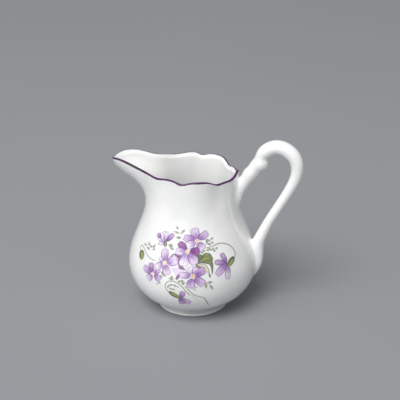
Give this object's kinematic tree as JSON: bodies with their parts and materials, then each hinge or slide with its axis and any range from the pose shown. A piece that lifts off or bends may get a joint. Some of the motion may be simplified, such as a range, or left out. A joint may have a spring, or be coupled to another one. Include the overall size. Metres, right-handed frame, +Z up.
{
  "type": "cream jug",
  "caption": "Small glazed porcelain cream jug: round belly on a foot ring, scalloped mouth drawn into a long open spout, high looped handle, violet spray on the side and a purple rim line.",
  "frame": {"origin": "centre of the foot ring, on the plane the jug stands on", "axes": "+Z up, +X from the middle of the body towards the handle (the spout points to -X), +Y away from the side that carries front_transfer; the XZ plane is the plane of symmetry"},
  "size_m": [0.1072, 0.0734, 0.1013],
  "materials": {
    "body_glaze": "clear glossy glaze over white porcelain",
    "foot_glaze": "clear glossy glaze, bare and matt on the face it stands on",
    "handle_glaze": "clear glossy glaze over white porcelain",
    "slip_glaze": "sponged slip under clear glossy glaze",
    "rim_enamel": "hand painted dark purple on-glaze enamel",
    "print_enamel": "printed violets and leaves, on-glaze enamel, glossy"
  },
  "bodies": {
    "root": {"jug_body": "body_glaze", "foot_ring": "foot_glaze", "handle": "handle_glaze", "upper_slip_joint": "slip_glaze", "lower_slip_joint": "slip_glaze", "rim_line": "rim_enamel", "front_transfer": "print_enamel", "back_transfer": "print_enamel"}
  },
  "joints": []
}
